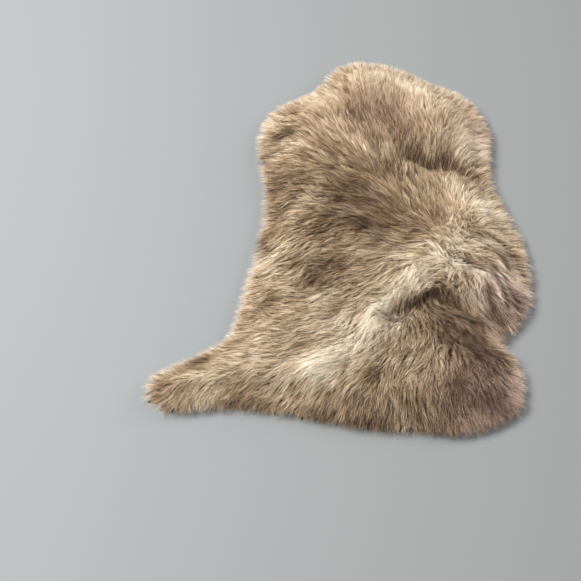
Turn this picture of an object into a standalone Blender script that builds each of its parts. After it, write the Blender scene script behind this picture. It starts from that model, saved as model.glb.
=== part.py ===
"""A sheepskin rug laid out flat: the tanned hide, and the long wool that stands on it.

Metres, +Z up. The neck points along +Y and the rump along -Y. The underside of the hide
and of the wool's rim lie on z = 0, with the middle of the outline over the origin.
"""

import math
import random

import bmesh
import bpy
import numpy as np
from mathutils import Matrix, Vector, noise

HIDE_THICKNESS = 0.002
LAYER_GAP = 0.0003
HIDE_CLEARANCE = 0.0005  # from the hide's cut edge to the wool beside it

# The edge of the hide, one row for each place, in metres from the middle of the back.
# The four edges meet at the legs.
LEFT_EDGE = (
    ("hind leg", -0.308, -0.374),
    ("end of the hind leg", -0.322, -0.350),
    ("hind leg, front", -0.256, -0.309),
    ("groin", -0.186, -0.256),
    ("flank", -0.156, -0.150),
    ("waist", -0.132, -0.030),
    ("ribs", -0.118, 0.068),
    ("armpit", -0.121, 0.150),
    ("foreleg, back", -0.130, 0.212),
    ("foreleg", -0.132, 0.264),
)
RIGHT_EDGE = (
    ("hind leg", 0.272, -0.382),
    ("hind leg, front", 0.274, -0.306),
    ("groin", 0.238, -0.238),
    ("belly, back", 0.294, -0.182),
    ("belly", 0.307, -0.104),
    ("belly, front", 0.301, -0.028),
    ("flank", 0.281, 0.042),
    ("armpit", 0.257, 0.118),
    ("shoulder", 0.256, 0.195),
    ("foreleg", 0.261, 0.270),
)
NECK_EDGE = (
    ("left foreleg", -0.132, 0.264),
    ("left shoulder", -0.112, 0.316),
    ("left nape", -0.072, 0.340),
    ("left cheek", -0.022, 0.378),
    ("crown", 0.018, 0.440),
    ("right cheek", 0.090, 0.436),
    ("right nape", 0.158, 0.392),
    ("right shoulder", 0.232, 0.346),
    ("right foreleg", 0.261, 0.270),
)
RUMP_EDGE = (
    ("left hind leg", -0.308, -0.374),
    ("left hock", -0.230, -0.362),
    ("left rump", -0.145, -0.368),
    ("left of the tail", -0.060, -0.384),
    ("tail", 0.030, -0.404),
    ("right of the tail", 0.112, -0.410),
    ("right rump", 0.200, -0.416),
    ("right hind leg", 0.272, -0.382),
)
CURVE_SAMPLES = 24  # along each stretch of an edge, before it is spaced out evenly

CELLS_ACROSS = 44
CELLS_ALONG = 62

WOOL_DEPTH = 0.056
RIM_HEIGHT = 0.025  # of the wool where the rim's locks start
ROLL_WIDTH = 0.085  # over which the wool falls from its full depth to the rim
ROOT_INSET = 0.003  # from the hide's edge out to the top of the locks' roots
ROOT_FOOT = 0.005  # and to their foot

# Swells and troughs in the wool's top: half width, rise and the way they run, in metres.
FOLDS = (
    ("long swell, upper end", 0.032, 0.020,
        ((0.187, -0.035), (0.116, -0.094), (0.074, -0.165), (0.036, -0.216))),
    ("long swell, lower end", 0.032, 0.016,
        ((0.036, -0.216), (0.003, -0.261), (-0.029, -0.306), (-0.071, -0.332), (-0.150, -0.328))),
    ("tuck below the swell", 0.016, -0.028,
        ((0.079, -0.213), (0.130, -0.183), (0.156, -0.172), (0.184, -0.179), (0.222, -0.202))),
    ("crease on the shoulder", 0.018, -0.019,
        ((0.136, 0.186), (0.166, 0.162), (0.226, 0.157), (0.259, 0.138))),
    ("hollow on the back", 0.040, -0.015, ((0.011, 0.081), (0.091, 0.002))),
    ("hollow low on the back", 0.018, -0.012, ((-0.075, -0.144), (-0.002, -0.108))),
    ("parting on the neck", 0.018, -0.007, ((0.011, 0.358), (0.064, 0.208))),
    ("crease at the hind leg", 0.020, -0.010, ((-0.200, -0.335), (-0.150, -0.365), (-0.118, -0.378))),
    ("upper rib of the belly", 0.013, -0.012,
        ((0.259, -0.023), (0.295, -0.038), (0.314, -0.074), (0.323, -0.122))),
    ("middle rib of the belly", 0.013, -0.012,
        ((0.237, -0.086), (0.265, -0.091), (0.292, -0.122), (0.310, -0.165))),
    ("lower rib of the belly", 0.014, -0.020, ((0.254, -0.167), (0.261, -0.195), (0.275, -0.229))),
    ("crease at the groin", 0.016, -0.010, ((0.179, -0.254), (0.235, -0.263))),
)

TUFT_SIZE = 0.038
TUFT_STRETCH = 1.45  # length of a tuft to its width
TUFT_HEIGHT = 0.018
TUFT_SHARE_AT_RIM = 0.45
WAVE_SIZE = 0.110
WAVE_HEIGHT = 0.004

# The sections of a rim lock: how far out it is, its width as a share of the room there and
# its height as a share of the root's.
LOCK_SECTIONS = (
    ("swell", 0.32, 0.86, 0.80),
    ("taper", 0.70, 0.58, 0.44),
)
LOCK_TOP_SHARE = 0.55  # width of a lock's top to that of its foot
SHORTEST_LOCK = 0.028
LONGEST_LOCK = 0.048
LOCK_LEAN = math.radians(16)
LOCK_LEAN_WAVE = 11  # locks from one lean to the next
LOCK_BEND = 0.22  # of the room at its tip
LEAST_ROOM = 0.001
NORMAL_WINDOW = 4  # neighbours on each side that even out a lock's direction
LOCK_SEED = 7


def even_points(rows, steps):
    """Evenly spaced points, steps + 1 of them, on a smooth curve through an edge's rows."""
    points = np.array([(x, y) for _, x, y in rows])
    before = 2 * points[0] - points[1]
    after = 2 * points[-1] - points[-2]
    path = np.vstack([before, points, after])
    t = np.linspace(0, 1, CURVE_SAMPLES, endpoint=False)[:, None]
    stretches = []
    for a, b, c, d in zip(path, path[1:], path[2:], path[3:]):
        square = (2 * a - 5 * b + 4 * c - d) * t**2
        cube = (3 * b - a - 3 * c + d) * t**3
        stretches.append((2 * b + (c - a) * t + square + cube) / 2)
    dense = np.vstack(stretches + [points[-1:]])
    walked = np.concatenate([[0], np.cumsum(np.linalg.norm(np.diff(dense, axis=0), axis=1))])
    stops = np.linspace(0, walked[-1], steps + 1)
    return np.column_stack([np.interp(stops, walked, dense[:, k]) for k in (0, 1)])


def closed_outline(left, right, neck, rump):
    """The four edges as one ring, counterclockwise from the left hind leg."""
    return np.vstack([rump[:-1], right[:-1], neck[:0:-1], left[:0:-1]])


def ring_normals(ring):
    """The outward normal of the stretch from each point to the next."""
    along = np.roll(ring, -1, axis=0) - ring
    along /= np.linalg.norm(along, axis=1)[:, None]
    return np.column_stack([along[:, 1], -along[:, 0]])


def moved_out(ring, distance):
    """The ring with each stretch moved out by a distance, its corners mitred."""
    after = ring_normals(ring)
    before = np.roll(after, 1, axis=0)
    mitre = (before + after) / (1 + np.sum(before * after, axis=1))[:, None]
    return ring + mitre * distance


def hide_outline():
    return closed_outline(
        even_points(LEFT_EDGE, CELLS_ALONG),
        even_points(RIGHT_EDGE, CELLS_ALONG),
        even_points(NECK_EDGE, CELLS_ACROSS),
        even_points(RUMP_EDGE, CELLS_ACROSS),
    )


def distance_to_segment(points, start, end):
    start = np.array(start)
    along = np.array(end) - start
    share = np.clip((points - start) @ along / (along @ along), 0, 1)
    return np.linalg.norm(points - start - share[:, None] * along, axis=1)


def distance_to_path(points, path):
    return np.min([distance_to_segment(points, a, b) for a, b in zip(path, path[1:])], axis=0)


def distance_to_ring(points, ring):
    return distance_to_path(points, np.vstack([ring, ring[:1]]))


def tuft_rise(x, y):
    """Rounded tufts, longer along the body than across it, on slow waves."""
    tuft = Vector((x / TUFT_SIZE, y / (TUFT_SIZE * TUFT_STRETCH), 0))
    nearest = noise.voronoi(tuft)[0][0]
    wave = noise.noise(Vector((x / WAVE_SIZE, y / WAVE_SIZE, 0)))
    return TUFT_HEIGHT * (0.5 - nearest) + WAVE_HEIGHT * wave


def wool_height(points, ring):
    """The height of the wool's top over each point, inside the ring where the locks start."""
    inward = np.clip(distance_to_ring(points, ring) / ROLL_WIDTH, 0, 1)
    roll = np.sqrt(1 - (1 - inward) ** 2)
    rise = np.array([tuft_rise(x, y) for x, y in points])
    for _, half_width, height, way in FOLDS:
        off = distance_to_path(points, way) / half_width
        rise += height * np.exp(-(off**2))
    share = TUFT_SHARE_AT_RIM + (1 - TUFT_SHARE_AT_RIM) * roll
    return RIM_HEIGHT + (WOOL_DEPTH - RIM_HEIGHT) * roll + rise * share


def ring_vertices(grid):
    """The vertices on the grid's border, in the order of closed_outline."""
    rump = [grid[i, 0] for i in range(CELLS_ACROSS)]
    right = [grid[CELLS_ACROSS, j] for j in range(CELLS_ALONG)]
    neck = [grid[i, CELLS_ALONG] for i in range(CELLS_ACROSS, 0, -1)]
    left = [grid[0, j] for j in range(CELLS_ALONG, 0, -1)]
    return rump + right + neck + left


def patch_point(ring, i, j):
    """The point of a patch that blends the ring's four edges, at cell corner (i, j)."""
    across, along = CELLS_ACROSS, CELLS_ALONG
    right_at, neck_at, left_at = across, across + along, 2 * across + along
    count = len(ring)
    rump = ring[i]
    right = ring[right_at + j]
    neck = ring[neck_at + across - i]
    left = ring[(left_at + along - j) % count]
    u, v = i / across, j / along
    blend = (1 - v) * rump + v * neck + (1 - u) * left + u * right
    low = (1 - u) * ring[0] + u * ring[right_at]
    high = (1 - u) * ring[left_at] + u * ring[neck_at]
    return blend - (1 - v) * low - v * high


def add_wool_top(bm, ring):
    """The lumpy top of the wool: a grid laid into the ring. Returns its border vertices."""
    bmesh.ops.create_grid(bm, x_segments=CELLS_ACROSS, y_segments=CELLS_ALONG, size=0.5)
    grid = {}
    for vert in bm.verts:
        i = round((vert.co.x + 0.5) * CELLS_ACROSS)
        j = round((vert.co.y + 0.5) * CELLS_ALONG)
        grid[i, j] = vert
    flat = np.array([patch_point(ring, i, j) for i, j in grid])
    heights = wool_height(flat, ring)
    for vert, (x, y), z in zip(grid.values(), flat, heights):
        vert.co = (x, y, z)
    return ring_vertices(grid)


def add_wool_foot(bm, top_ring, foot_ring, hide_ring):
    """The wall under the top's border, the foot round the hide and the recess over it.

    Returns the wall's faces in the order of the ring.
    """
    border = [edge for edge in bm.edges if edge.is_boundary]
    bmesh.ops.extrude_edge_only(bm, edges=border)
    foot = []
    for vert in top_ring:
        below = [e.other_vert(vert) for e in vert.link_edges if e.other_vert(vert).co == vert.co]
        foot.append(below[0])
    for vert, (x, y) in zip(foot, foot_ring):
        vert.co = (x, y, 0)
    walls = []
    for a, b in zip(top_ring, top_ring[1:] + top_ring[:1]):
        edge = bm.edges.get((a, b))
        walls += [face for face in edge.link_faces if any(v.co.z == 0 for v in face.verts)]
    made = bmesh.ops.contextual_create(bm, geom=[e for e in bm.edges if e.is_boundary])
    floor = made["faces"][0]
    at_edge = dict(zip(foot, hide_ring))
    for height in (0, HIDE_THICKNESS + LAYER_GAP):
        floor, at_edge = add_step(bm, floor, at_edge, height)
    return walls


def add_step(bm, floor, targets, height):
    """Extrudes the floor face and puts each new corner over its target, at a height."""
    old = list(floor.verts)
    made = bmesh.ops.extrude_discrete_faces(bm, faces=[floor])["faces"][0]
    moved = {}
    for before, after in zip(old, made.verts):
        x, y = targets[before]
        after.co = (x, y, height)
        moved[after] = targets[before]
    return made, moved


def lock_directions(ring):
    """The outward direction of each lock: even along the rim, and leaning in slow waves."""
    sides = ring_normals(ring)
    window = range(-NORMAL_WINDOW, NORMAL_WINDOW + 1)
    outward = sum(np.roll(sides, k, axis=0) for k in window)
    outward /= np.linalg.norm(outward, axis=1)[:, None]
    count = len(ring)
    wave_radius = count / (2 * math.pi * LOCK_LEAN_WAVE)
    leaning = []
    for index, direction in enumerate(outward):
        turn = 2 * math.pi * index / count
        place = Vector((math.cos(turn), math.sin(turn), 0)) * wave_radius
        lean = LOCK_LEAN * 2 * noise.noise(place)
        leaning.append(Matrix.Rotation(lean, 2) @ Vector(direction))
    return np.array(leaning)


def lock_room(roots, directions, reach):
    """The room across each lock at its own reach from the root, up to the nearer neighbour."""
    spots = roots + directions * reach[:, None]
    sides = np.column_stack([-directions[:, 1], directions[:, 0]])
    to_next = np.sum((np.roll(spots, -1, axis=0) - spots) * sides, axis=1)
    return np.clip(np.minimum(to_next, np.roll(to_next, 1)), LEAST_ROOM, None)


def place_section(face, centre, side, width, height):
    """Moves a face's four corners to a section of a lock that stands on the floor."""
    middle = face.calc_center_median().xy
    for vert in face.verts:
        is_top = vert.co.z > 0
        half = width / 2 * (LOCK_TOP_SHARE if is_top else 1)
        turn = 1 if (vert.co.xy - middle).dot(side) > 0 else -1
        spot = centre + side * half * turn
        vert.co = (spot.x, spot.y, height if is_top else 0)


def add_rim_locks(bm, walls, ring):
    """Draws each wall face out into a tapered lock that rests on the floor."""
    draw = random.Random(LOCK_SEED)
    directions = lock_directions(ring)
    roots = np.array([wall.calc_center_median().xy for wall in walls])
    lengths = np.array([draw.uniform(SHORTEST_LOCK, LONGEST_LOCK) for _ in walls])
    bends = np.array([draw.uniform(-LOCK_BEND, LOCK_BEND) for _ in walls])
    bends *= lock_room(roots, directions, lengths)
    rooms = [lock_room(roots, directions, lengths * share) for _, share, _, _ in LOCK_SECTIONS]
    for index, wall in enumerate(walls):
        direction = Vector(directions[index])
        side = Vector((-direction.y, direction.x))
        root = Vector(roots[index])
        root_height = max(vert.co.z for vert in wall.verts)
        face = wall
        for (_, share, width, height), room in zip(LOCK_SECTIONS, rooms):
            face = bmesh.ops.extrude_discrete_faces(bm, faces=[face])["faces"][0]
            centre = root + direction * lengths[index] * share
            centre += side * bends[index] * share**2
            place_section(face, centre, side, room[index] * width, root_height * height)
        tip = bmesh.ops.extrude_discrete_faces(bm, faces=[face])["faces"][0]
        end = root + direction * lengths[index] + side * bends[index]
        bmesh.ops.pointmerge(bm, verts=list(tip.verts), merge_co=(end.x, end.y, 0))


def add_fleece(hide_ring, collection, material):
    root_ring = moved_out(hide_ring, ROOT_INSET)
    bm = bmesh.new()
    top_ring = add_wool_top(bm, root_ring)
    foot_ring = moved_out(hide_ring, ROOT_FOOT)
    walls = add_wool_foot(bm, top_ring, foot_ring, moved_out(hide_ring, HIDE_CLEARANCE))
    add_rim_locks(bm, walls, foot_ring)
    bmesh.ops.recalc_face_normals(bm, faces=bm.faces)
    mesh = bpy.data.meshes.new("fleece")
    bm.to_mesh(mesh)
    bm.free()
    return add_object(mesh, collection, material)


def add_hide(hide_ring, collection, material):
    """The hide: its flat outline as a filled curve, as thick as the leather."""
    curve = bpy.data.curves.new("hide_outline", "CURVE")
    curve.dimensions = "2D"
    curve.fill_mode = "BOTH"
    curve.extrude = HIDE_THICKNESS / 2
    spline = curve.splines.new("POLY")
    spline.points.add(len(hide_ring) - 1)
    spline.use_cyclic_u = True
    for point, (x, y) in zip(spline.points, hide_ring):
        point.co = (x, y, 0, 1)
    guide = bpy.data.objects.new("hide_outline", curve)
    collection.objects.link(guide)
    bpy.context.view_layer.update()
    graph = bpy.context.evaluated_depsgraph_get()
    mesh = bpy.data.meshes.new_from_object(guide.evaluated_get(graph))
    bpy.data.objects.remove(guide)
    mesh.name = "hide"
    mesh.transform(Matrix.Translation((0, 0, HIDE_THICKNESS / 2)))
    return add_object(mesh, collection, material)


def add_object(mesh, collection, material):
    mesh.materials.clear()
    mesh.materials.append(material)
    obj = bpy.data.objects.new(mesh.name, mesh)
    collection.objects.link(obj)
    return obj


def principled(name, colour, roughness, metallic=0.0):
    material = bpy.data.materials.new(name)
    material.use_nodes = True
    shader = material.node_tree.nodes["Principled BSDF"]
    shader.inputs["Base Color"].default_value = (*colour, 1)
    shader.inputs["Roughness"].default_value = roughness
    shader.inputs["Metallic"].default_value = metallic
    material.diffuse_color = (*colour, 1)
    return material


def centre_over_origin(objects):
    """Moves the meshes so that the middle of their common outline is over the origin."""
    corners = np.array([v.co.xy for obj in objects for v in obj.data.vertices])
    middle = (corners.min(axis=0) + corners.max(axis=0)) / 2
    for obj in objects:
        obj.data.transform(Matrix.Translation((-middle[0], -middle[1], 0)))


def clear_scene():
    for obj in list(bpy.data.objects):
        bpy.data.objects.remove(obj)


def main():
    clear_scene()
    collection = bpy.data.collections.new("SheepskinRug")
    bpy.context.scene.collection.children.link(collection)
    suede = principled("suede", (0.52, 0.42, 0.30), 0.85)
    wool = principled("wool", (0.42, 0.30, 0.195), 0.9)
    ring = hide_outline()
    hide = add_hide(ring, collection, suede)
    fleece = add_fleece(ring, collection, wool)
    fleece.data.shade_smooth()
    centre_over_origin([hide, fleece])


main()
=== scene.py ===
import math

import bmesh
import bpy
import numpy as np
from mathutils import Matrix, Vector
from mathutils.bvhtree import BVHTree


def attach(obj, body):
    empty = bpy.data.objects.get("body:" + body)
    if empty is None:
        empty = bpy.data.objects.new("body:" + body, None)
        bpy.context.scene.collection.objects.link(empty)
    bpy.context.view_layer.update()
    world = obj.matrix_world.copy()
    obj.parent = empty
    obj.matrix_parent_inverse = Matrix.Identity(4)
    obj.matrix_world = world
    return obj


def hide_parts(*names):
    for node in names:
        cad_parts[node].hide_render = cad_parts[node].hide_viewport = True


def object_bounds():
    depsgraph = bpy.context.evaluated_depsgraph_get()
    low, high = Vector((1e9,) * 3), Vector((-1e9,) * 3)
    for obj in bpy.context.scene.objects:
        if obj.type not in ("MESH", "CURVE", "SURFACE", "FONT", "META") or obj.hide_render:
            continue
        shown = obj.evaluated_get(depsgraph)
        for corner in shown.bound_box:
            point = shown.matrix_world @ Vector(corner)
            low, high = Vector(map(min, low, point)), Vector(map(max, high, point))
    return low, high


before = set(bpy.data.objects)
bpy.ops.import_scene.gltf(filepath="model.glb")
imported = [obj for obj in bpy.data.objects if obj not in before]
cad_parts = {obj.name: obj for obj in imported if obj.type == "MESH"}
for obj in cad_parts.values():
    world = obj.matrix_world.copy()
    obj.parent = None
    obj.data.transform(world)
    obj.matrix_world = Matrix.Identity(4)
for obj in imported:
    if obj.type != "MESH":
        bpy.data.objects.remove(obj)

cadLow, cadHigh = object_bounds()
scene = bpy.context.scene


# shader helpers: a socket that takes arithmetic, and one way to add any other node

class Socket:
    def __init__(self, shade, out):
        self.shade = shade
        self.out = out

    def math(self, operation, first, second):
        return self.shade.node("ShaderNodeMath", {"operation": operation}, {0: first, 1: second})

    def __add__(self, other):
        return self.math("ADD", self, other)

    def __radd__(self, other):
        return self.math("ADD", other, self)

    def __sub__(self, other):
        return self.math("SUBTRACT", self, other)

    def __rsub__(self, other):
        return self.math("SUBTRACT", other, self)

    def __mul__(self, other):
        return self.math("MULTIPLY", self, other)

    def __rmul__(self, other):
        return self.math("MULTIPLY", other, self)

    def __truediv__(self, other):
        return self.math("DIVIDE", self, other)

    def __rtruediv__(self, other):
        return self.math("DIVIDE", other, self)

    def __pow__(self, other):
        return self.math("POWER", self, other)

    def __rpow__(self, other):
        return self.math("POWER", other, self)

    def clamped(self):
        return self.shade.node("ShaderNodeClamp", {}, {"Value": self})


class Shade:
    def __init__(self, name):
        self.material = bpy.data.materials.new(name)
        self.material.use_nodes = True
        self.tree = self.material.node_tree
        self.surface = self.tree.nodes["Principled BSDF"]

    def feed(self, node, name, value):
        socket = node.inputs[name]
        if isinstance(value, Socket):
            self.tree.links.new(value.out, socket)
        else:
            socket.default_value = value

    def node(self, kind, settings, values, output=0):
        made = self.tree.nodes.new(kind)
        for name, value in settings.items():
            if name == "stops":
                ramp = made.color_ramp
                while len(ramp.elements) < len(value):
                    ramp.elements.new(0.5)
                for stop, (place, colour) in zip(ramp.elements, value):
                    stop.position = place
                    stop.color = (*colour, 1)
            else:
                setattr(made, name, value)
        for name, value in values.items():
            self.feed(made, name, value)
        return Socket(self, made.outputs[output])

    def attribute(self, name):
        return self.node("ShaderNodeAttribute", {"attribute_name": name}, {}, "Fac")

    def place(self):
        return self.node("ShaderNodeTexCoord", {}, {}, "Object")

    def noise(self, scale, detail=3.0):
        values = {"Vector": self.place(), "Scale": scale, "Detail": detail}
        return self.node("ShaderNodeTexNoise", {}, values, "Fac")

    def mix(self, factor, first, second):
        return self.node("ShaderNodeMix", {"data_type": "RGBA"}, {0: factor, 6: first, 7: second}, 2)

    def ramp(self, factor, stops):
        return self.node("ShaderNodeValToRGB", {"stops": stops}, {"Fac": factor}, "Color")

    def bump(self, height, strength, distance):
        values = {"Height": height, "Strength": strength, "Distance": distance}
        return self.node("ShaderNodeBump", {}, values)

    def finish(self, **values):
        for name, value in values.items():
            self.feed(self.surface, name.replace("_", " "), value)
        return self.material


def rgba(colour):
    return (*colour, 1.0)


def addObject(name, data):
    made = bpy.data.objects.new(name, data)
    scene.collection.objects.link(made)
    return made


# smooth seeded noise over the plane, for the drift of the wool

def plainNoise(xy, size, seed):
    cells = xy / size
    base = np.floor(cells).astype(int)
    part = cells - base
    part = part * part * (3 - 2 * part)

    def corner(di, dj):
        mixed = (base[..., 0] + di) * 374761393 + (base[..., 1] + dj) * 668265263 + seed * 69069
        mixed = (mixed ^ (mixed >> 13)) * 1274126177
        return ((mixed ^ (mixed >> 16)) & 0xFFFF) / 32767.5 - 1

    u, v = part[..., 0], part[..., 1]
    low = corner(0, 0) * (1 - u) + corner(1, 0) * u
    high = corner(0, 1) * (1 - u) + corner(1, 1) * u
    return low * (1 - v) + high * v


def driftNoise(xy, size, seed):
    # two unlike noises at right angles, so that they add up to a wandering direction
    return np.stack([plainNoise(xy, size, seed), plainNoise(xy[..., ::-1], size, seed + 50)], axis=-1)


def unit(vectors):
    return vectors / np.maximum(np.linalg.norm(vectors, axis=-1, keepdims=True), 1e-9)


def turned(vectors, angle):
    c, s = np.cos(angle), np.sin(angle)
    x, y = vectors[..., 0], vectors[..., 1]
    return np.stack([x * c - y * s, x * s + y * c], axis=-1)


def smoothStep(low, high, values):
    share = np.clip((values - low) / (high - low), 0, 1)
    return share * share * (3 - 2 * share)


def bell(far, width):
    return np.exp(-((far / width) ** 2))


def besidePath(xy, path):
    # how far off a path, negative on its right, how far along it, from 0 to 1, and its way there
    far = np.full(xy.shape[:-1], 1e9)
    side, progress, heading = np.ones(far.shape), np.zeros(far.shape), np.zeros(xy.shape)
    for number, (start, end) in enumerate(zip(path, path[1:])):
        start, along = np.array(start), np.array(end) - np.array(start)
        share = np.clip((xy - start) @ along / (along @ along), 0, 1)
        off = xy - start - share[..., None] * along
        gap = np.linalg.norm(off, axis=-1)
        nearer = gap < far
        onRight = along[0] * off[..., 1] < along[1] * off[..., 0]
        side = np.where(nearer, np.where(onRight, -1, 1), side)
        progress = np.where(nearer, (number + share) / (len(path) - 1), progress)
        heading = np.where(nearer[..., None], unit(along), heading)
        far = np.minimum(far, gap)
    return far * side, progress, heading


# the swell, the creases and the ribs: each has its half width, its shade, how much it raises or
# lowers the wool of the solid, and its way; the shade is painted light, a painted highlight on the
# swell's crest and painted shade in the creases, ribs and hollows

folds = (
    ("swell", 0.029, 0.31, 0.009,
        ((0.170, -0.101), (0.135, -0.135), (0.101, -0.180), (0.077, -0.219),
            (0.053, -0.256), (0.027, -0.296), (-0.007, -0.329), (-0.062, -0.349))),
    ("back of the swell", 0.018, -0.02, -0.014,
        ((0.009, -0.259), (0.029, -0.227), (0.050, -0.211),
            (0.075, -0.174), (0.097, -0.153))),
    ("top of the fold", 0.03, 0.08, 0.004, ((0.176, -0.110), (0.247, -0.134))),
    ("shoulder crease", 0.009, -0.34, -0.006,
        ((0.142, 0.179), (0.172, 0.160), (0.220, 0.158), (0.262, 0.136))),
    ("edge of the lobe", 0.005, -0.34, -0.006,
        ((0.266, -0.025), (0.302, -0.038), (0.322, -0.070), (0.333, -0.132))),
    ("outer rib", 0.005, -0.34, -0.006,
        ((0.260, -0.062), (0.288, -0.074), (0.312, -0.116), (0.323, -0.163))),
    ("middle rib", 0.005, -0.34, -0.006,
        ((0.192, -0.087), (0.225, -0.089), (0.243, -0.091),
            (0.272, -0.096), (0.299, -0.125), (0.319, -0.186))),
    ("inner rib", 0.0045, -0.26, -0.004, ((0.271, -0.116), (0.293, -0.159), (0.296, -0.215))),
    ("hollow in the lobe", 0.009, -0.36, -0.008, ((0.263, -0.162), (0.269, -0.190), (0.283, -0.224))),
    ("end of the lobe", 0.006, -0.18, -0.002, ((0.310, -0.162), (0.316, -0.197), (0.313, -0.230))),
    ("groin crease", 0.009, -0.12, -0.002, ((0.186, -0.258), (0.242, -0.267))),
)

swellWay = folds[0][-1][1:]  # where the wool lies along the swell, which is all but its upper end

# the tuck, where the wool over it hangs down as a lip on the wool below
tuck = {
    "way": ((0.060, -0.228), (0.078, -0.220), (0.100, -0.210), (0.122, -0.198), (0.144, -0.184),
        (0.164, -0.175), (0.187, -0.182), (0.207, -0.196), (0.227, -0.216)),
    "lip": 0.026,  # how far up from the tuck the lip reaches
    "lipHeight": 0.066,
    "foot": 0.022,  # and how far down from it the hollow at its foot does
    "footHeight": 0.050,
    "edge": 0.003,  # half the width of the step between them
    "fades": ((0.02, 0.34), (0, 0.24)),  # at its left end and its right one, in shares of its way
    "shadow": 0.008,
    "shadowShade": -0.62,
    "shadowFades": ((0, 0.18), (0, 0.30)),
}


def fading(progress, fades):
    return smoothStep(*fades[0], progress) * smoothStep(*fades[1], 1 - progress)


def foldEffects(xy):
    # the folds' painted light and shade, paler on the swell and darker in the creases, the ribs and the
    # tuck's shadow, and how much higher they make the wool
    shade, rise = 0, 0
    for _, width, paintedLight, lift, path in folds:
        near = bell(besidePath(xy, path)[0], width)
        shade = shade + paintedLight * near
        rise = rise + lift * near
    far, progress, _ = besidePath(xy, tuck["way"])
    shadow = tuck["shadowShade"] * bell(far + tuck["edge"], tuck["shadow"])
    return shade + shadow * fading(progress, tuck["shadowFades"]), rise


def tucked(xy, top):
    # the wool's height with the lip and its foot in it
    far, progress, _ = besidePath(xy, tuck["way"])
    strength = fading(progress, tuck["fades"])
    above = smoothStep(-tuck["edge"], tuck["edge"], far)
    top = top + np.maximum(tuck["lipHeight"] - top, 0) * strength * above * bell(far, tuck["lip"])
    return top + (tuck["footHeight"] - top) * strength * (1 - above) * bell(far, tuck["foot"])


# the lie of the land: the pelt's edge and the height of its wool, read from the frame on an even grid

lieOfWool = {
    "cell": 0.004,
    "margin": 0.060,  # of grid kept round the hide
    "overhang": 0.047,  # how far the wool reaches past the hide's edge
    "rimHeight": 0.025,
    "smoothing": 2,  # passes that even out the solid's facets
    "tuftShare": 0.95,  # of the solid's tufts that is kept
    "tuftSmoothing": 24,  # passes that take them off
    "edgeSmoothing": 6,
    "slopeSmoothing": 2,
    "reliefSmoothing": (1, 30),  # what is higher than its surroundings is the difference of the two
}


def hideEdge():
    mesh = bmesh.new()
    mesh.from_mesh(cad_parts["hide"].data)
    bmesh.ops.remove_doubles(mesh, verts=mesh.verts, dist=1e-5)
    ends = []
    for edge in mesh.edges:
        low = all(vert.co.z < 1e-4 for vert in edge.verts)
        if low and any(abs(face.normal.z) < 0.5 for face in edge.link_faces):
            ends.append([vert.co.xy[:] for vert in edge.verts])
    mesh.free()
    return np.array(ends)


class Grid:  # even points over the pelt, with fields that are read between them
    def __init__(self, settings):
        self.cell = settings["cell"]
        edge = hideEdge()
        self.low = edge.reshape(-1, 2).min(axis=0) - settings["margin"]
        high = edge.reshape(-1, 2).max(axis=0) + settings["margin"]
        self.count = np.ceil((high - self.low) / self.cell).astype(int) + 1
        x = self.low[0] + self.cell * np.arange(self.count[0])
        y = self.low[1] + self.cell * np.arange(self.count[1])
        self.points = np.stack(np.meshgrid(x, y, indexing="ij"), axis=-1)
        self.inside = self.depth(edge)
        self.top = self.topHeight(settings)
        slope = np.gradient(self.smooth(self.inside, settings["edgeSmoothing"]), self.cell)
        out = -np.stack(slope, axis=-1)
        self.outward = out / np.maximum(np.linalg.norm(out, axis=-1, keepdims=True), 1e-6)

    def depth(self, edge):
        # distance inside the hide's edge, negative outside it
        points = self.points.reshape(-1, 2)
        nearest = np.full(len(points), 1e9)
        crossings = np.zeros(len(points), int)
        for a, b in edge:
            along = b - a
            share = np.clip((points - a) @ along / (along @ along), 0, 1)
            gap = np.linalg.norm(points - a - share[:, None] * along, axis=1)
            nearest = np.minimum(nearest, gap)
            spans = (a[1] > points[:, 1]) != (b[1] > points[:, 1])
            if a[1] != b[1]:
                at = a[0] + (points[:, 1] - a[1]) * along[0] / along[1]
                crossings += spans & (points[:, 0] < at)
        return np.where(crossings % 2 == 1, nearest, -nearest).reshape(self.points.shape[:2])

    def smooth(self, field, passes):
        for _ in range(passes):
            padded = np.pad(field, 1, mode="edge")
            field = (padded[:-2] + 2 * padded[1:-1] + padded[2:])[:, 1:-1] / 4
            padded = np.pad(field, 1, mode="edge")
            field = (padded[:, :-2] + 2 * padded[:, 1:-1] + padded[:, 2:])[1:-1] / 4
        return field

    def topHeight(self, settings):
        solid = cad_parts["fleece"]
        tree = BVHTree.FromObject(solid, bpy.context.evaluated_depsgraph_get())
        height = np.zeros(self.points.shape[:2])
        inner = self.inside > 0
        for i, j in np.argwhere(inner):
            x, y = self.points[i, j]
            hit = tree.ray_cast(Vector((x, y, cadHigh.z + 0.1)), Vector((0, 0, -1)))[0]
            height[i, j] = hit.z if hit else settings["rimHeight"]
        past = np.clip(-self.inside / settings["overhang"], 0, 1)
        fall = settings["rimHeight"] * np.sqrt(1 - past**2)
        height = np.where(inner, height, fall)
        keep = settings["tuftShare"]
        plain = self.smooth(height, settings["tuftSmoothing"])
        return keep * self.smooth(height, settings["smoothing"]) + (1 - keep) * plain

    def read(self, field, xy):
        spot = (xy - self.low) / self.cell
        spot = np.clip(spot, 0, self.count - 1.001)
        i, j = spot[..., 0].astype(int), spot[..., 1].astype(int)
        u, v = spot[..., 0] - i, spot[..., 1] - j
        if field.ndim == 3:
            u, v = u[..., None], v[..., None]
        low = field[i, j] * (1 - u) + field[i + 1, j] * u
        high = field[i, j + 1] * (1 - u) + field[i + 1, j + 1] * u
        return low * (1 - v) + high * v


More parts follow.
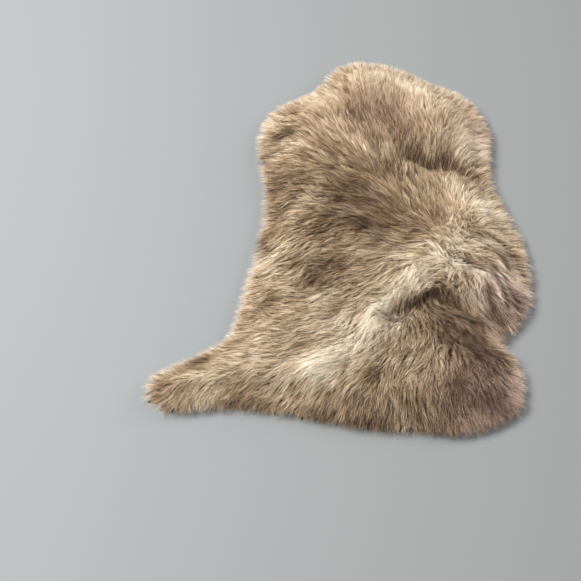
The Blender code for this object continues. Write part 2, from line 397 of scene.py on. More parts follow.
grid = Grid(lieOfWool)
grid.top = tucked(grid.points, grid.top + foldEffects(grid.points)[1] * (grid.inside > 0))
grid.top = np.maximum(grid.top, 0)
grid.slopes = np.gradient(grid.smooth(grid.top, lieOfWool["slopeSmoothing"]), grid.cell)
near, around = (grid.smooth(grid.top, passes) for passes in lieOfWool["reliefSmoothing"])
grid.relief = near - around
print("pelt read:", grid.count, "grid points, wool up to", round(float(grid.top.max()), 4))


# how the wool lies: each lay has its place, the heading of the tips there in degrees, where 90 is
# towards the neck and 0 to the right of it, and how far it leads the wool around it

lays = (
    ("crown", 0.090, 0.330, 92, 0.070),
    ("left of the crown", 0.010, 0.315, 117, 0.050),
    ("neck", 0.175, 0.260, 83, 0.060),
    ("right shoulder", 0.255, 0.275, 58, 0.060),
    ("under the shoulder crease", 0.215, 0.105, 85, 0.045),
    ("edge of the shoulder", 0.270, 0.075, 50, 0.040),
    ("over the fan", 0.140, 0.085, 112, 0.045),
    ("back", 0.090, 0.075, 130, 0.045),
    ("left of the neck", 0.010, 0.185, 140, 0.050),
    ("left cheek", -0.040, 0.290, 137, 0.050),
    ("left foreleg", -0.105, 0.235, 155, 0.045),
    ("left side", -0.095, 0.115, 179, 0.060),
    ("middle of the back", -0.005, 0.060, 187, 0.045),
    ("hollow", 0.060, 0.030, 163, 0.035),
    ("curl on the back", 0.005, -0.015, 224, 0.032),
    ("under the hollow", 0.085, -0.050, 187, 0.040),
    ("left of the fan", 0.155, -0.015, 145, 0.030),
    ("top of the fan", 0.210, 0.020, 97, 0.025),
    ("right of the fan", 0.265, 0.010, 14, 0.030),
    ("top of the lobe", 0.290, -0.035, -18, 0.030),
    ("inner lobe", 0.250, -0.090, -20, 0.026),
    ("lobe", 0.295, -0.135, -62, 0.035),
    ("end of the lobe", 0.310, -0.225, -82, 0.035),
    ("left end of the tuck", 0.170, -0.135, 205, 0.022),
    ("right end of the tuck", 0.225, -0.160, -75, 0.022),
    ("over the swell", 0.040, -0.165, 217, 0.036),
    ("low on the back", -0.030, -0.170, 232, 0.034),
    ("left of the back", -0.080, -0.090, 218, 0.045),
    ("waist", -0.145, -0.105, 208, 0.040),
    ("flank", -0.060, -0.225, 187, 0.040),
    ("left flank", -0.150, -0.205, 181, 0.045),
    ("curls", -0.075, -0.280, 223, 0.036),
    ("under the flank", -0.165, -0.285, 198, 0.040),
    ("top of the left leg", -0.175, -0.355, 173, 0.040),
    ("left leg", -0.240, -0.380, 182, 0.050),
    ("end of the left leg", -0.310, -0.400, 200, 0.045),
    ("left rump", -0.115, -0.395, 184, 0.040),
    ("beside the tail", -0.030, -0.390, 218, 0.042),
    ("under the swell", 0.035, -0.320, 214, 0.034),
    ("left of the tail", 0.005, -0.435, 238, 0.042),
    ("tail", 0.060, -0.400, 253, 0.045),
    ("over the tail", 0.105, -0.330, 267, 0.040),
    ("under the tuck", 0.145, -0.235, -76, 0.032),
    ("right of the tuck", 0.190, -0.220, -50, 0.030),
    ("groin", 0.250, -0.235, -40, 0.030),
    ("rump", 0.165, -0.320, -87, 0.045),
    ("edge of the rump", 0.150, -0.425, -66, 0.050),
    ("right leg", 0.240, -0.330, -74, 0.040),
    ("end of the right leg", 0.250, -0.425, -62, 0.050),
)

combing = {
    "evenness": 20,  # passes that smooth one lay into the next
    "rimPull": 0.026,  # how far in the edge leads the wool
    "rimWeight": 1.3,
    "drift": 0.26,
    "driftSize": 0.085,
    "swirl": 0.34,
    "swirlSize": 0.034,
    "swellWidth": 0.028,
    "swellWeight": 0.80,
    "firm": 0.7,  # where the flow is stronger than this, the wool lies flat
    "parting": (10.0, 28.0),  # how fast the wool turns apart, a metre, where it starts and is all loose
    "partingSmoothing": 8,
    "loosened": 0.9,
}


def layFlow(xy):
    flow = np.zeros(xy.shape)
    total = np.full((*xy.shape[:-1], 1), 1e-9)
    for _, x, y, heading, size in lays:
        off = np.linalg.norm(xy - np.array((x, y)), axis=-1, keepdims=True)
        near = 1 / (1 + (off / size) ** 4)
        angle = math.radians(heading)
        flow += near * np.array((math.cos(angle), math.sin(angle)))
        total += near
    flow /= total
    far, _, lengthwise = besidePath(xy, swellWay)
    onSwell = combing["swellWeight"] * bell(far, combing["swellWidth"])[..., None]
    return flow * (1 - onSwell) + lengthwise * onSwell


flow = layFlow(grid.points)
grid.flow = np.stack([grid.smooth(flow[..., axis], combing["evenness"]) for axis in (0, 1)], axis=-1)
heading = unit(grid.flow)
parting = sum(np.gradient(heading[..., axis], grid.cell, axis=axis) for axis in (0, 1))
grid.parting = smoothStep(*combing["parting"], grid.smooth(parting, combing["partingSmoothing"]))


def combed(xy, rimShare):
    # the direction in which the wool lies, and how firmly it does, from 0 to 1
    flow = grid.read(grid.flow, xy)
    flow += combing["drift"] * driftNoise(xy, combing["driftSize"], 11)
    flow += combing["swirl"] * driftNoise(xy, combing["swirlSize"], 12)
    edge = rimShare * np.exp(-np.maximum(grid.read(grid.inside, xy), 0) / combing["rimPull"])[..., None]
    flow = flow * (1 - edge) + grid.read(grid.outward, xy) * edge * combing["rimWeight"]
    firmness = smoothStep(0.0, combing["firm"], np.linalg.norm(flow, axis=-1))
    return unit(flow), firmness * (1 - combing["loosened"] * grid.read(grid.parting, xy))


# the wool: locks of strands, each strand a tapered ribbon, with loose wool between them

wool = {
    "seed": 5,
    "rootShare": 0.50,  # height of the roots to that of the wool
    "rootDepth": 0.021,  # and how far they are under it at most
    "rootSpill": 0.003,  # how far past the hide's edge they stand
    "rowShare": 0.866,  # from row to row of locks, of their pitch
    "jitter": 0.40,
    "shortReach": 0.028,  # where the wool stands up
    "longReach": 0.044,  # where it lies
    "rimReach": 0.046,
    "rimWidth": 0.035,
    "setBack": 0.46,  # how far a lock's root is behind its place, of its length
    "lockSize": (0.7, 1.3),
    "lockWander": 0.13,
    "looseWander": 1.3,  # where the wool doesn't lie firmly
    "brushing": 0.65,  # how much of a lock's own way is lost where the wool is brushed
    "drawnIn": 0.24,  # what is left of a lock's width at its tip
    "drawnInBrushed": 0.90,
    "streakSize": 0.0065,
    "streakStretch": 3.5,
    "streakShade": 0.15,
    "streakLevel": 0.06,
    "cleftSize": 0.012,
    "cleftRange": (0.35, 0.85),
    # clefts are gaps between the locks: lower, and darker by painted shade
    "cleftPaintedShade": -0.28,
    "cleftLevel": -0.12,
    "lockShade": 0.10,
    "strandShade": 0.080,
    "strandLevel": 0.016,
    "strandWander": 0.05,
    "strandRoll": 0.35,
    "longest": 1.04,
    "shortSkew": 1.3,  # over 1, fewer of the strands are short
    "tipScatter": 0.0014,
    "crest": 0.0015,  # how much the middle of a lock stands over its sides
    "tipLift": 0.0016,
    "climb": 1.7,  # over 1, a strand rises first and then lies down
    "lean": 1.1,  # over 1, it starts off slowly
    "width": 0.00100,
    "widthRange": (0.75, 1.15),
    "bend": 0.0030,
    "bendWaves": 0.8,
    "swaySize": 0.030,
    "lockSway": 0.45,
    "strandSway": 0.30,
    "farthest": 0.045,  # past the hide's edge
    "lowest": 0.0008,
    "headroom": 0.010,  # over the solid's top
    "softness": 0.60,  # how far a strand is lit as the fleece around it is
    "mostFaces": 199000,
}

# the middle line of a strand as shares of its length, and its width at each
strandForms = {
    "staple": {"places": (0.0, 0.24, 0.60, 1.0), "widths": (0.75, 1.0, 0.80, 0.0)},
    "fibre": {"places": (0.0, 0.45, 1.0), "widths": (0.8, 1.0, 0.0)},
}

# each growth: pitch and size of its locks, how high and far they go, and where they stand
growths = (
    {
        "name": "locks",
        "form": "staple",
        "pitch": 0.0056,
        "strands": 10,
        "radius": 0.0034,
        "rimShare": 0.5,
        "level": (0.80, 1.0),
        "reach": (0.86, 1.12),
        "shortest": 0.50,
        "width": 0.86,
        "shade": 0.0,
    },
    {
        "name": "filling",
        "form": "staple",
        "pitch": 0.0040,
        "strands": 1,
        "radius": 0.0020,
        "rimShare": 0.5,
        "level": (0.70, 0.90),
        "reach": (0.60, 0.95),
        "shortest": 0.70,
        "width": 1.20,
        # darker, a painted shade for the gaps between the locks
        "shade": -0.22,
    },
    {
        "name": "rim",
        "form": "staple",
        "pitch": 0.0052,
        "strands": 9,
        "radius": 0.0045,
        "rimShare": 1.0,
        "level": (0.10, 0.90),
        "reach": (0.70, 1.0),
        "shortest": 0.60,
        "width": 0.80,
        # paler, a painted highlight where the rim catches the light
        "shade": 0.06,
        "band": 0.022,
    },
    {
        "name": "fuzz",
        "form": "fibre",
        "pitch": 0.0021,
        "strands": 1,
        "radius": 0.0020,
        "rimShare": 0.8,
        "level": (0.10, 1.04),
        "reach": (0.80, 1.06),
        "shortest": 0.85,
        "width": 0.36,
        # paler, a painted highlight of the lit fuzz at the rim
        "shade": 0.18,
        "band": 0.024,
    },
    {
        "name": "flyaway",
        "form": "fibre",
        "pitch": 0.0065,
        "strands": 1,
        "radius": 0.0040,
        "rimShare": 0.5,
        "level": (0.98, 1.05),
        "reach": (0.80, 1.20),
        "shortest": 0.80,
        "width": 0.42,
        # paler, a painted highlight on the loose fibres on top
        "shade": 0.14,
    },
)

# painted light and shade with some of the wool's own tone: darker in hollows, under folds and toward
# the bottom edge, paler on tops and rims turned to the light; place, size and shade
paintedLightAndTone = (
    ("crown", 0.060, 0.290, 0.055, -0.33),
    ("neck", 0.145, 0.205, 0.050, -0.26),
    ("right of the crown", 0.195, 0.265, 0.030, -0.14),
    ("right of the neck", 0.205, 0.180, 0.020, -0.26),
    ("top of the crown", 0.095, 0.410, 0.040, 0.14),
    ("top of the right shoulder", 0.140, 0.380, 0.030, 0.26),
    ("left of the crown", 0.015, 0.360, 0.010, -0.34),
    ("under the neck", 0.070, 0.200, 0.010, -0.16),
    ("left cheek", -0.045, 0.340, 0.030, 0.24),
    ("left foreleg", -0.135, 0.290, 0.020, 0.16),
    ("notch over the foreleg", -0.095, 0.300, 0.010, -0.20),
    ("crease of the left foreleg", -0.110, 0.240, 0.020, -0.44),
    ("left side", -0.110, 0.105, 0.055, -0.30),
    ("back", 0.015, 0.110, 0.060, -0.34),
    ("over the hollow", 0.095, 0.135, 0.030, -0.26),
    ("hollow", 0.070, 0.045, 0.045, -0.36),
    ("under the hollow", 0.130, -0.015, 0.035, -0.24),
    ("right of the hollow", 0.170, 0.015, 0.026, -0.24),
    ("beside the hollow", 0.150, 0.075, 0.035, -0.14),
    ("left of the hollow", -0.040, -0.010, 0.042, -0.28),
    ("lower hollow", 0.035, -0.010, 0.026, -0.44),
    ("middle of the back", 0.010, 0.080, 0.014, 0.02),
    ("edge of the waist", -0.160, -0.025, 0.024, -0.36),
    ("waist over it", -0.140, -0.080, 0.024, 0.20),
    ("edge of the shoulder", 0.275, 0.220, 0.028, 0.22),
    ("edge of the flank", 0.270, 0.050, 0.030, 0.40),
    ("fan", 0.215, -0.065, 0.030, 0.28),
    ("top of the lobe", 0.290, -0.050, 0.030, 0.28),
    ("lobe", 0.305, -0.130, 0.030, 0.36),
    ("inner lobe", 0.285, -0.080, 0.008, -0.20),
    ("over the tuck", 0.180, -0.160, 0.016, -0.10),
    ("end of the lobe", 0.290, -0.255, 0.012, -0.22),
    ("under the tuck", 0.180, -0.240, 0.045, -0.24),
    ("right of the tuck", 0.245, -0.225, 0.020, -0.36),
    ("low on the back", -0.050, -0.120, 0.045, -0.22),
    ("dark spot", -0.055, -0.140, 0.012, -0.26),
    ("dark streak", -0.005, -0.100, 0.014, -0.30),
    ("waist", -0.135, -0.190, 0.018, -0.40),
    ("curls", -0.080, -0.290, 0.014, -0.16),
    ("beside the swell", 0.000, -0.255, 0.028, 0.36),
    ("foot of the swell", -0.050, -0.365, 0.026, 0.28),
    ("left flank", -0.145, -0.295, 0.035, 0.14),
    ("root of the left leg", -0.185, -0.320, 0.022, 0.18),
    ("left leg", -0.240, -0.350, 0.036, 0.18),
    ("end of the left leg", -0.325, -0.370, 0.022, -0.10),
    ("under the left leg", -0.190, -0.400, 0.034, -0.30),
    ("crease of the left leg", -0.145, -0.405, 0.020, -0.20),
    ("under the swell", 0.045, -0.355, 0.014, -0.24),
    ("rump", 0.085, -0.390, 0.050, -0.14),
    ("left of the tail", -0.055, -0.450, 0.044, -0.42),
    ("tail", 0.040, -0.450, 0.040, -0.34),
    ("edge of the rump", 0.160, -0.455, 0.050, -0.36),
    ("inner right leg", 0.195, -0.385, 0.036, -0.36),
    ("right leg", 0.240, -0.305, 0.045, -0.36),
    ("spot on the right leg", 0.230, -0.320, 0.012, -0.14),
    ("end of the right leg", 0.265, -0.410, 0.036, -0.30),
    ("under the tail", 0.055, -0.450, 0.030, -0.06),
    ("rosy edge", 0.280, -0.395, 0.020, 0.14),
    ("under the groin", 0.235, -0.230, 0.014, -0.14),
    ("edge under the foreleg", -0.155, 0.200, 0.016, -0.26),
    ("hip", 0.270, -0.310, 0.022, -0.10),
    ("top of the left leg", -0.255, -0.315, 0.022, -0.40),
    ("middle of the swell", 0.070, -0.215, 0.016, 0.24),
    ("back of the lobe", 0.205, -0.105, 0.026, 0.26),
    ("left of the neck", 0.060, 0.215, 0.016, -0.20),
    ("top of the swell", 0.145, -0.105, 0.020, -0.22),
    ("above the lobe", 0.215, -0.105, 0.014, 0.16),
)
# the drift is the wool's own tone at random; relief is painted light, the tops of the tufts paler and
# the dips between them darker
toneDrift = {"size": 0.060, "shade": 0.08, "relief": 12.0}  # relief: a metre higher is this paler

# where it is rosier: place, size and amount
rosy = (
    ("lobe", 0.315, -0.170, 0.080, 0.80),
    ("right leg", 0.270, -0.395, 0.100, 0.90),
    ("right shoulder", 0.270, 0.235, 0.070, 0.40),
    ("crown", 0.090, 0.290, 0.070, 0.35),
)

# where it is fine and even, with hardly any locks: place, size and amount
brushed = (
    ("crown", 0.105, 0.325, 0.090, 1.00),
    ("right shoulder", 0.250, 0.235, 0.060, 0.80),
    ("fan", 0.200, 0.015, 0.050, 0.60),
    ("top of the lobe", 0.280, -0.030, 0.040, 0.40),
    ("swell", 0.085, -0.175, 0.030, 0.80),
    ("middle of the swell", 0.035, -0.265, 0.026, 0.80),
    ("foot of the swell", -0.050, -0.340, 0.040, 0.80),
    ("rump", 0.135, -0.350, 0.075, 0.45),
    ("right leg", 0.245, -0.400, 0.080, 1.00),
    ("left leg", -0.270, -0.350, 0.060, 0.80),
    ("left flank", -0.165, -0.235, 0.040, 0.50),
    ("left cheek", -0.035, 0.305, 0.035, 0.80),
)


def disc(draw, radius):
    angle = draw.uniform(0, 2 * math.pi, len(radius))
    far = radius * np.sqrt(draw.uniform(0, 1, len(radius)))
    return np.stack([far * np.cos(angle), far * np.sin(angle)], axis=-1)


def lockRoots(draw, growth):
    # a jittered grid with every second row set over by half a pitch
    pitch = growth["pitch"]
    size = grid.count * grid.cell
    rows = np.arange(0, size[1], pitch * wool["rowShare"])
    x, y = np.meshgrid(np.arange(0, size[0], pitch), rows)
    x[1::2] += pitch / 2
    roots = grid.low + np.stack([x.ravel(), y.ravel()], axis=-1)
    roots += draw.uniform(-wool["jitter"], wool["jitter"], roots.shape) * pitch
    inside = grid.read(grid.inside, roots)
    return roots[(inside > -0.001) & (inside < growth.get("band", 1.0))]


def streaks(xy, flow, size, seed):
    # noise drawn out along the wool
    along, across = (xy * flow).sum(axis=-1), (xy * turned(flow, math.pi / 2)).sum(axis=-1)
    return plainNoise(np.stack([along / wool["streakStretch"], across], axis=-1), size, seed)


def spread(xy, places):
    # the sum of soft spots: name, x, y, size and amount each
    total = np.zeros(xy.shape[:-1])
    for _, x, y, size, amount in places:
        total = total + amount * bell(np.linalg.norm(xy - np.array((x, y)), axis=-1), size)
    return total


# the wool's own drifting tone with the painted light and shade of the tufts, the folds and the spots
def toneWithPaintedLight(xy):
    drift = toneDrift["shade"] * plainNoise(xy, toneDrift["size"], 41)
    paintedReliefLight = toneDrift["relief"] * grid.read(grid.relief, xy) * (grid.read(grid.inside, xy) > 0)
    return drift + paintedReliefLight + foldEffects(xy)[0] + spread(xy, paintedLightAndTone)


def growStrands(draw, growth):
    # first what all the strands of a lock share
    locks = lockRoots(draw, growth)
    count = len(locks)
    flow, firmness = combed(locks, growth["rimShare"])
    wander = draw.normal(0, wool["lockWander"], count)
    wander += (1 - firmness) * draw.normal(0, wool["looseWander"], count)
    flow = turned(flow, wander)
    nearRim = 1 - smoothStep(0.0, wool["rimWidth"], grid.read(grid.inside, locks))
    even = np.clip(spread(locks, brushed), 0, 1)
    lone = 1 - wool["brushing"] * even  # how far each lock goes its own way
    reach = wool["shortReach"] + (wool["longReach"] - wool["shortReach"]) * firmness
    reach = reach * (1 - nearRim) + wool["rimReach"] * nearRim
    reach *= draw.uniform(*growth["reach"], count)
    streak = streaks(locks, flow, wool["streakSize"], 61) * lone
    cleft = smoothStep(*wool["cleftRange"], streaks(locks, flow, wool["cleftSize"], 62)) * lone
    least, most = growth["level"]
    level = most - (most - least) * draw.uniform(0, 1, count) * lone
    level += wool["streakLevel"] * streak + wool["cleftLevel"] * cleft
    sway = plainNoise(locks, wool["swaySize"], 31) + draw.normal(0, wool["lockSway"], count)
    phase = draw.uniform(0, math.pi, count)
    shade = growth["shade"] + draw.normal(0, wool["lockShade"], count) * lone
    # the clefts darken by painted shade
    shade += wool["streakShade"] * streak + wool["cleftPaintedShade"] * cleft
    size = draw.uniform(*wool["lockSize"], count)

    # then each strand by itself
    of = np.repeat(np.arange(count), growth["strands"])
    total = len(of)
    radius = growth["radius"] * size[of]
    inLock = disc(draw, radius)
    places = locks - flow * (reach * wool["setBack"] * (1 - nearRim))[:, None]
    root = places[of] + inLock
    short = (wool["longest"] - growth["shortest"]) * draw.uniform(0, 1, total) ** wool["shortSkew"]
    length = reach[of] * (wool["longest"] - short)
    gathering = np.maximum(even, nearRim)[of]
    gathered = wool["drawnIn"] + (wool["drawnInBrushed"] - wool["drawnIn"]) * gathering
    tip = places[of] + inLock * gathered[:, None] + disc(draw, np.full(total, wool["tipScatter"]))
    tip += turned(flow[of], draw.normal(0, wool["strandWander"], total)) * length[:, None]
    crest = 1 - (inLock**2).sum(axis=1) / radius**2
    strands = {
        "root": root,
        "tip": tip,
        "level": level[of] + draw.normal(0, wool["strandLevel"], total),
        "over": crest * wool["crest"],
        "sway": sway[of] + draw.normal(0, wool["strandSway"], total),
        "phase": phase[of],
        "shade": shade[of] + draw.normal(0, wool["strandShade"], total),
        "rosy": np.clip(spread(locks, rosy), 0, 1)[of],
        "width": wool["width"] * growth["width"] * draw.uniform(*wool["widthRange"], total),
        "roll": draw.normal(0, wool["strandRoll"], total),
    }
    keep = grid.read(grid.inside, root) > -wool["rootSpill"]
    return {name: values[keep] for name, values in strands.items()}


def strandPaths(strands, form):
    # the middle line of each strand: up out of the wool and along it, its tip on top
    t = np.array(form["places"])[None, :]
    root, tip = strands["root"][:, None], strands["tip"][:, None]
    ahead = tip - root
    across = unit(np.stack([-ahead[..., 1], ahead[..., 0]], axis=-1))
    phase = strands["phase"][:, None]
    wave = np.sin(2 * math.pi * wool["bendWaves"] * t + phase) - np.sin(phase)
    sway = wool["bend"] * strands["sway"][:, None] * wave * t
    xy = root + ahead * t[..., None] ** wool["lean"] + across * sway[..., None]
    top = grid.read(grid.top, xy)
    level = strands["level"][:, None]
    low = grid.read(grid.top, strands["root"])
    low = np.maximum(low * wool["rootShare"], low - wool["rootDepth"])[:, None] * np.minimum(level, 1)
    climb = 1 - (1 - t) ** wool["climb"]
    z = low + (top * level - low) * climb
    z += (strands["over"][:, None] + wool["tipLift"] * t) * t
    z = np.clip(z, wool["lowest"], cadHigh.z + wool["headroom"])
    reachable = (grid.read(grid.inside, xy) > -wool["farthest"]).all(axis=1)
    return np.concatenate([xy, z[..., None]], axis=-1), reachable


def strandSides(paths, roll):
    # a ribbon lies in the fleece's surface, rolled a little: its way across, and how it is lit
    x, y = (grid.read(slope, paths[..., :2]) for slope in grid.slopes)
    normal = unit(np.stack([-x, -y, np.ones_like(x)], axis=-1))
    along = unit(np.gradient(paths, axis=1))
    side = unit(np.cross(along, normal))
    face = np.cross(side, along)
    c, s = np.cos(roll)[:, None, None], np.sin(roll)[:, None, None]
    lit = unit(normal * wool["softness"] + (face * c - side * s) * (1 - wool["softness"]))
    return side * c + face * s, lit


def ribbonMesh(name, form, paths, sides, lit, shades, rosiness):
    # one mesh of tapered ribbons, with what the shader needs to know of each stored on its points
    count, steps = paths.shape[:2]
    left, right = paths - sides, paths + sides
    body = np.stack([left[:, :-1], right[:, :-1]], axis=2).reshape(count, -1, 3)
    verts = np.concatenate([body, paths[:, -1:]], axis=1)
    normals = np.concatenate([np.repeat(lit[:, :-1], 2, axis=1), lit[:, -1:]], axis=1)
    perStrand = verts.shape[1]
    rungs = [[2 * k, 2 * k + 1, 2 * k + 3, 2 * k + 2] for k in range(steps - 2)]
    offsets = np.arange(count)[:, None, None] * perStrand
    quads = (np.array(rungs)[None] + offsets).reshape(-1)
    last = 2 * (steps - 2)
    tips = (np.array([[last, last + 1, last + 2]])[None] + offsets).reshape(-1)
    corners = np.concatenate([quads, tips])
    quadCount, tipCount = len(quads) // 4, len(tips) // 3
    starts = np.concatenate([np.arange(quadCount) * 4, len(quads) + np.arange(tipCount) * 3])
    mesh = bpy.data.meshes.new(name)
    mesh.vertices.add(count * perStrand)
    mesh.vertices.foreach_set("co", verts.reshape(-1))
    mesh.loops.add(len(corners))
    mesh.loops.foreach_set("vertex_index", corners)
    mesh.polygons.add(quadCount + tipCount)
    mesh.polygons.foreach_set("loop_start", starts)
    mesh.polygons.foreach_set("use_smooth", np.ones(quadCount + tipCount, bool))
    mesh.update(calc_edges=True)
    mesh.normals_split_custom_set_from_vertices(normals.reshape(-1, 3))

    along = np.append(np.repeat(form["places"][:-1], 2), 1.0)
    facts = {
        "along": np.tile(along, count),
        "shade": np.concatenate([np.repeat(shades[:, :-1], 2, axis=1), shades[:, -1:]], axis=1).ravel(),
        "rosy": np.repeat(rosiness, perStrand),
    }
    for fact, values in facts.items():
        layer = mesh.attributes.new(fact, "FLOAT", "POINT")
        layer.data.foreach_set("value", values.astype(np.float32))

    unwrapRibbons(mesh, corners, along, count)
    return mesh


# each ribbon is unwrapped upright in a cell of its own
ribbonCell = {
    "tallness": 3.2,  # the cell's height to its width
    "sides": (0.15, 0.85),  # the ribbon's two edges, as shares of the cell's width
    "foot": 0.04,  # its root, as a share of the cell's height
    "height": 0.92,  # and its length
}


def unwrapRibbons(mesh, corners, along, count):
    columns = math.ceil(math.sqrt(count * ribbonCell["tallness"]))
    rows = math.ceil(count / columns)
    column, row = np.arange(count) % columns, np.arange(count) // columns
    across = np.append(np.tile(ribbonCell["sides"], len(along) // 2), 0.5)
    u = (column[:, None] + across[None]) / columns
    v = (row[:, None] + ribbonCell["foot"] + ribbonCell["height"] * along[None]) / rows
    uv = np.stack([u, v], axis=-1).reshape(-1, 2)
    layer = mesh.uv_layers.new(name="OFBake")
    layer.data.foreach_set("uv", uv[corners].reshape(-1))


woolColours = (  # from the roots in the shade to the palest tips
    (0.00, (0.032, 0.015, 0.006)),
    (0.25, (0.150, 0.088, 0.044)),
    (0.50, (0.370, 0.270, 0.172)),
    (0.75, (0.620, 0.518, 0.382)),
    (1.00, (0.800, 0.730, 0.600)),
)
rosyColours = (
    (0.00, (0.050, 0.025, 0.018)),
    (0.25, (0.172, 0.102, 0.074)),
    (0.50, (0.378, 0.264, 0.212)),
    (0.75, (0.610, 0.492, 0.428)),
    (1.00, (0.825, 0.750, 0.700)),
)


woolFinish = {
    # tips paler than roots: partly the wool's own colour, partly painted shade deep down at the roots
    "tipShade": 0.72,  # how much paler a strand's tip is than its root
    "tipPower": 1.8,
    "roughness": 0.62,
    "sheen": 0.06,
    "sheenRoughness": 0.45,
    "specular": 0.20,
}


def woolMaterial():
    shade = Shade("wool strands")
    value = woolFinish["tipShade"] * shade.attribute("along") ** woolFinish["tipPower"]
    value = (value + shade.attribute("shade")).clamped()
    plain, rosier = shade.ramp(value, woolColours), shade.ramp(value, rosyColours)
    return shade.finish(
        Base_Color=shade.mix(shade.attribute("rosy"), plain, rosier),
        Roughness=woolFinish["roughness"],
        Sheen_Weight=woolFinish["sheen"],
        Sheen_Roughness=woolFinish["sheenRoughness"],
        Specular_IOR_Level=woolFinish["specular"],
    )


def makeGrowth(draw, growth, material):
    form = strandForms[growth["form"]]
    strands = growStrands(draw, growth)
    paths, reachable = strandPaths(strands, form)
    strands = {name: values[reachable] for name, values in strands.items()}
    paths = paths[reachable]
    sides, lit = strandSides(paths, strands["roll"])
    sides *= (np.array(form["widths"]) / 2)[:, None] * strands["width"][:, None, None]
    # each point's shade: the lock's own tone with the painted light and shade of its place
    shades = strands["shade"][:, None] + toneWithPaintedLight(paths[..., :2])
    facesEach = 2 * (len(form["widths"]) - 2) + 1
    order = np.argsort(paths[:, 0, 1])  # rump to neck
    parts = math.ceil(len(order) * facesEach / wool["mostFaces"])
    print(growth["name"], len(order), "strands,", len(order) * facesEach, "triangles in", parts)
    facts = (paths, sides, lit, shades, strands["rosy"])
    made = []
    for number, chosen in enumerate(np.array_split(order, parts), 1):
        name = f"wool_{growth['name']}_{number}"
        mesh = ribbonMesh(name, form, *(values[chosen] for values in facts))
        mesh.materials.append(material)
        made.append(addObject(name, mesh))
    return made


def makeWool():
    draw = np.random.default_rng(wool["seed"])
    material = woolMaterial()
    made = []
    for growth in growths:
        made += makeGrowth(draw, growth, material)
    return made


# under the strands: a dense body of wool that shows in the gaps, the solid's own shape made lower, in
# the wool's brown darkened as painted shade of the deep gaps

underwool = {
    "heightShare": 0.76,
    "leastHeight": 0.0034,
    "lockShare": 0.55,  # of the length of the solid's rim locks
    "lockRoot": 0.006,  # past the hide's edge
    "grain": 420.0,
    "darkColour": (0.045, 0.024, 0.011),
    "paleColour": (0.17, 0.105, 0.056),
    "roughness": 0.95,
    "bump": 0.6,
    "bumpDepth": 0.002,
}


def underwoolMaterial():
    shade = Shade("underwool")
    fine = shade.noise(underwool["grain"], 4.0)
    stops = [(0.3, underwool["darkColour"]), (0.75, underwool["paleColour"])]
    return shade.finish(
        Base_Color=shade.ramp(fine, stops),
        Roughness=underwool["roughness"],
        Normal=shade.bump(fine, underwool["bump"], underwool["bumpDepth"]),
    )


def makeUnderwool():
    mesh = bmesh.new()
    mesh.from_mesh(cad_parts["fleece"].data)
    bmesh.ops.remove_doubles(mesh, verts=mesh.verts, dist=1e-6)
    xy = np.array([vert.co.xy[:] for vert in mesh.verts])
    past = np.maximum(-grid.read(grid.inside, xy) - underwool["lockRoot"], 0)
    xy -= grid.read(grid.outward, xy) * past[:, None] * (1 - underwool["lockShare"])
    tops = grid.read(grid.top, xy)
    for vert, (x, y), top, beyond in zip(mesh.verts, xy, tops, past):
        z = vert.co.z
        if z > underwool["leastHeight"]:
            z = z if beyond else min(z, top)
            z = max(z * underwool["heightShare"], underwool["leastHeight"])
        vert.co = (x, y, z)
    data = bpy.data.meshes.new("underwool")
    mesh.to_mesh(data)
    mesh.free()
    data.materials.append(underwoolMaterial())
    data.shade_smooth()
    return addObject("underwool", data)


woolPieces = [makeUnderwool()] + makeWool()
for piece in woolPieces:
    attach(piece, "root")
    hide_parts("fleece")
print("wool made")


# the hide's flesh side: suede

suede = {
    "nap": 900.0,
    "cloud": 14.0,
    "darkColour": (0.46, 0.36, 0.25),
    "paleColour": (0.60, 0.50, 0.38),
    "roughness": 0.88,
    "bump": 0.4,
    "bumpDepth": 0.0006,
}


def makeSuede():
    shade = Shade("suede")
    nap = shade.noise(suede["nap"])
    stops = [(0.3, suede["darkColour"]), (0.7, suede["paleColour"])]
    return shade.finish(
        Base_Color=shade.ramp(shade.noise(suede["cloud"], 4.0), stops),
        Roughness=suede["roughness"],
        Normal=shade.bump(nap, suede["bump"], suede["bumpDepth"]),
    )


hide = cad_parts["hide"]
hide.data.materials.clear()
hide.data.materials.append(makeSuede())
print("hide finished")


# the plain floor, soft light and the camera

stage = {
    "floorSide": 30.0,
    # the floor is darker to the right, a painted shade
    "leftColour": (0.168, 0.179, 0.184),
    "rightColour": (0.134, 0.137, 0.141),
    "grading": 0.9,  # how fast the one turns into the other, a metre
    "gradingMiddle": 0.45,
    "roughness": 0.9,
    "farColour": (0.285, 0.279, 0.272),
    "farFrom": 1.8,  # metres from the rug to where the floor starts to glow
    "farOver": 4.0,  # and from there to where it glows in full
    "worldColour": (0.86, 0.84, 0.82),
    "worldStrength": 0.40,
}
lights = {
    "key": {"place": (-3.2, 0.4, 4.2), "size": 2.6, "power": 760.0, "colour": (1.0, 0.985, 0.96)},
    "fill": {"place": (2.2, -2.8, 3.0), "size": 2.5, "power": 40.0, "colour": (1, 1, 1)},
    "edge": {"place": (3.2, 1.4, 1.7), "size": 1.6, "power": 90.0, "colour": (1, 1, 1)},
}


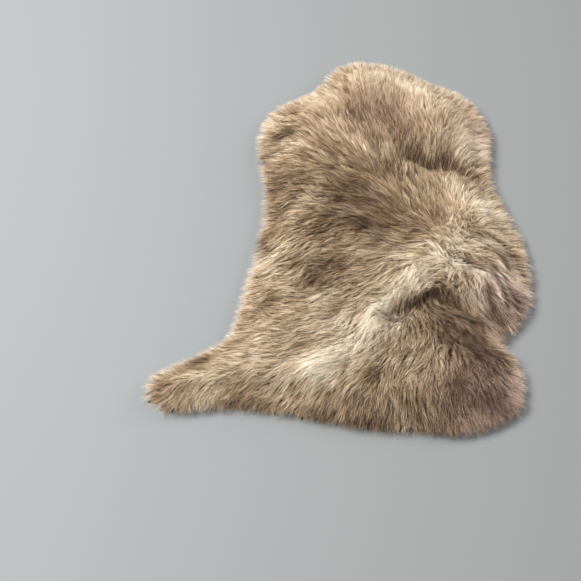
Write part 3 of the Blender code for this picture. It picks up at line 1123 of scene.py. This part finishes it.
def aim(thing, place, back):
    thing.location = place
    thing.rotation_mode = "QUATERNION"
    thing.rotation_quaternion = back.to_track_quat("Z", "Y")


def floorMaterial():
    shade = Shade("floor")
    across = shade.node("ShaderNodeSeparateXYZ", {}, {"Vector": shade.place()})
    # painted shade: the floor darkens toward the right
    paintedShadeGrade = (stage["gradingMiddle"] + across * stage["grading"]).clamped()
    colour = shade.mix(paintedShadeGrade, rgba(stage["leftColour"]), rgba(stage["rightColour"]))
    # the lights don't reach the far floor, so there it glows, up to the grey of the world behind it
    away = shade.node("ShaderNodeVectorMath", {"operation": "LENGTH"}, {0: shade.place()}, "Value")
    far = ((away - stage["farFrom"]) / stage["farOver"]).clamped()
    glow = shade.mix(far, rgba((0, 0, 0)), rgba(stage["farColour"]))
    return shade.finish(
        Base_Color=colour, Roughness=stage["roughness"], Emission_Color=glow, Emission_Strength=1.0
    )


def makeStage():
    mesh = bmesh.new()
    bmesh.ops.create_grid(mesh, x_segments=1, y_segments=1, size=stage["floorSide"] / 2)
    data = bpy.data.meshes.new("floor")
    mesh.to_mesh(data)
    mesh.free()
    data.materials.append(floorMaterial())
    floor = addObject("floor", data)
    world = bpy.data.worlds.new("studio")
    world.use_nodes = True
    scene.world = world
    back = world.node_tree.nodes["Background"]
    back.inputs["Color"].default_value = rgba(stage["worldColour"])
    back.inputs["Strength"].default_value = stage["worldStrength"]
    for name, light in lights.items():
        data = bpy.data.lights.new(name, "AREA")
        data.size = light["size"]
        data.energy = light["power"]
        data.color = light["colour"]
        aim(addObject(name, data), light["place"], Vector(light["place"]))


camera = {
    "elevation": 50.0,
    "distance": 3.2,
    "target": (-0.0955, -0.1437, 0.02),
    "lens": 109.0,
}


def makeCamera():
    data = bpy.data.cameras.new("camera")
    data.lens = camera["lens"]
    angle = math.radians(camera["elevation"])
    back = Vector((0, -math.cos(angle), math.sin(angle)))
    scene.camera = addObject("camera", data)
    aim(scene.camera, Vector(camera["target"]) + back * camera["distance"], back)


makeStage()
makeCamera()
scene.view_settings.view_transform = "Standard"
print("stage made")
